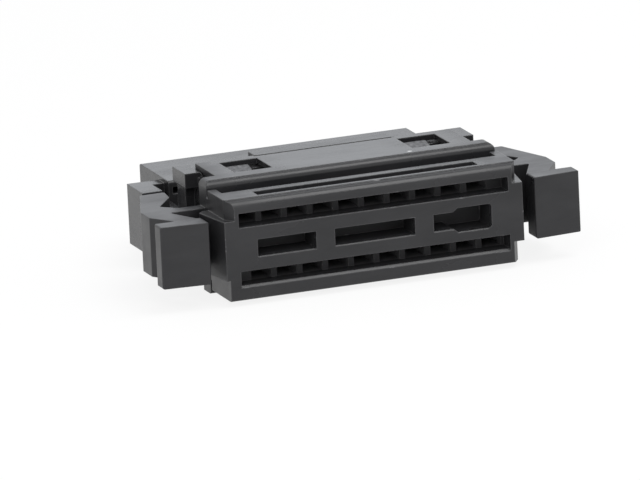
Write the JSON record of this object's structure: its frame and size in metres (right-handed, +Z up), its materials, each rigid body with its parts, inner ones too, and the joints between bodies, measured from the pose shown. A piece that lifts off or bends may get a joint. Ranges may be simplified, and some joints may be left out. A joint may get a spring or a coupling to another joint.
{
  "type": "idc socket",
  "caption": "Flat ribbon-cable socket with staggered rows of contact cells, side latch levers and a press-on cover that stands open behind its cable forks.",
  "frame": {"origin": "centre of the bounding box at the underside, with the cover open", "axes": "+X along the contact rows, +Y from the mating face back to the cable cover, +Z up from the lower latch plate"},
  "size_m": [0.0208, 0.0134, 0.0053],
  "materials": {
    "housing_plastic": "semi-matte black moulding",
    "carrier_plastic": "semi-matte black moulding",
    "cover_plastic": "semi-matte black moulding",
    "contact_plating": "thin bright plating on stamped sheet"
  },
  "bodies": {
    "base": {"socket_housing": "housing_plastic", "contact_carrier": "carrier_plastic", "upper_contact_01": "contact_plating", "upper_contact_02": "contact_plating", "upper_contact_03": "contact_plating", "upper_contact_04": "contact_plating", "upper_contact_05": "contact_plating", "upper_contact_06": "contact_plating", "upper_contact_07": "contact_plating", "upper_contact_08": "contact_plating", "upper_contact_09": "contact_plating", "upper_contact_10": "contact_plating", "lower_contact_01": "contact_plating", "lower_contact_02": "contact_plating", "lower_contact_03": "contact_plating", "lower_contact_04": "contact_plating", "lower_contact_05": "contact_plating", "lower_contact_06": "contact_plating", "lower_contact_07": "contact_plating", "lower_contact_08": "contact_plating", "lower_contact_09": "contact_plating", "lower_contact_10": "contact_plating"},
    "cover": {"cable_cover": "cover_plastic"}
  },
  "joints": [
    {"name": "cover_press", "type": "slide", "parent": "base", "child": "cover", "axis": [0, -1, 0], "range_m": [0, 0.00165]}
  ]
}
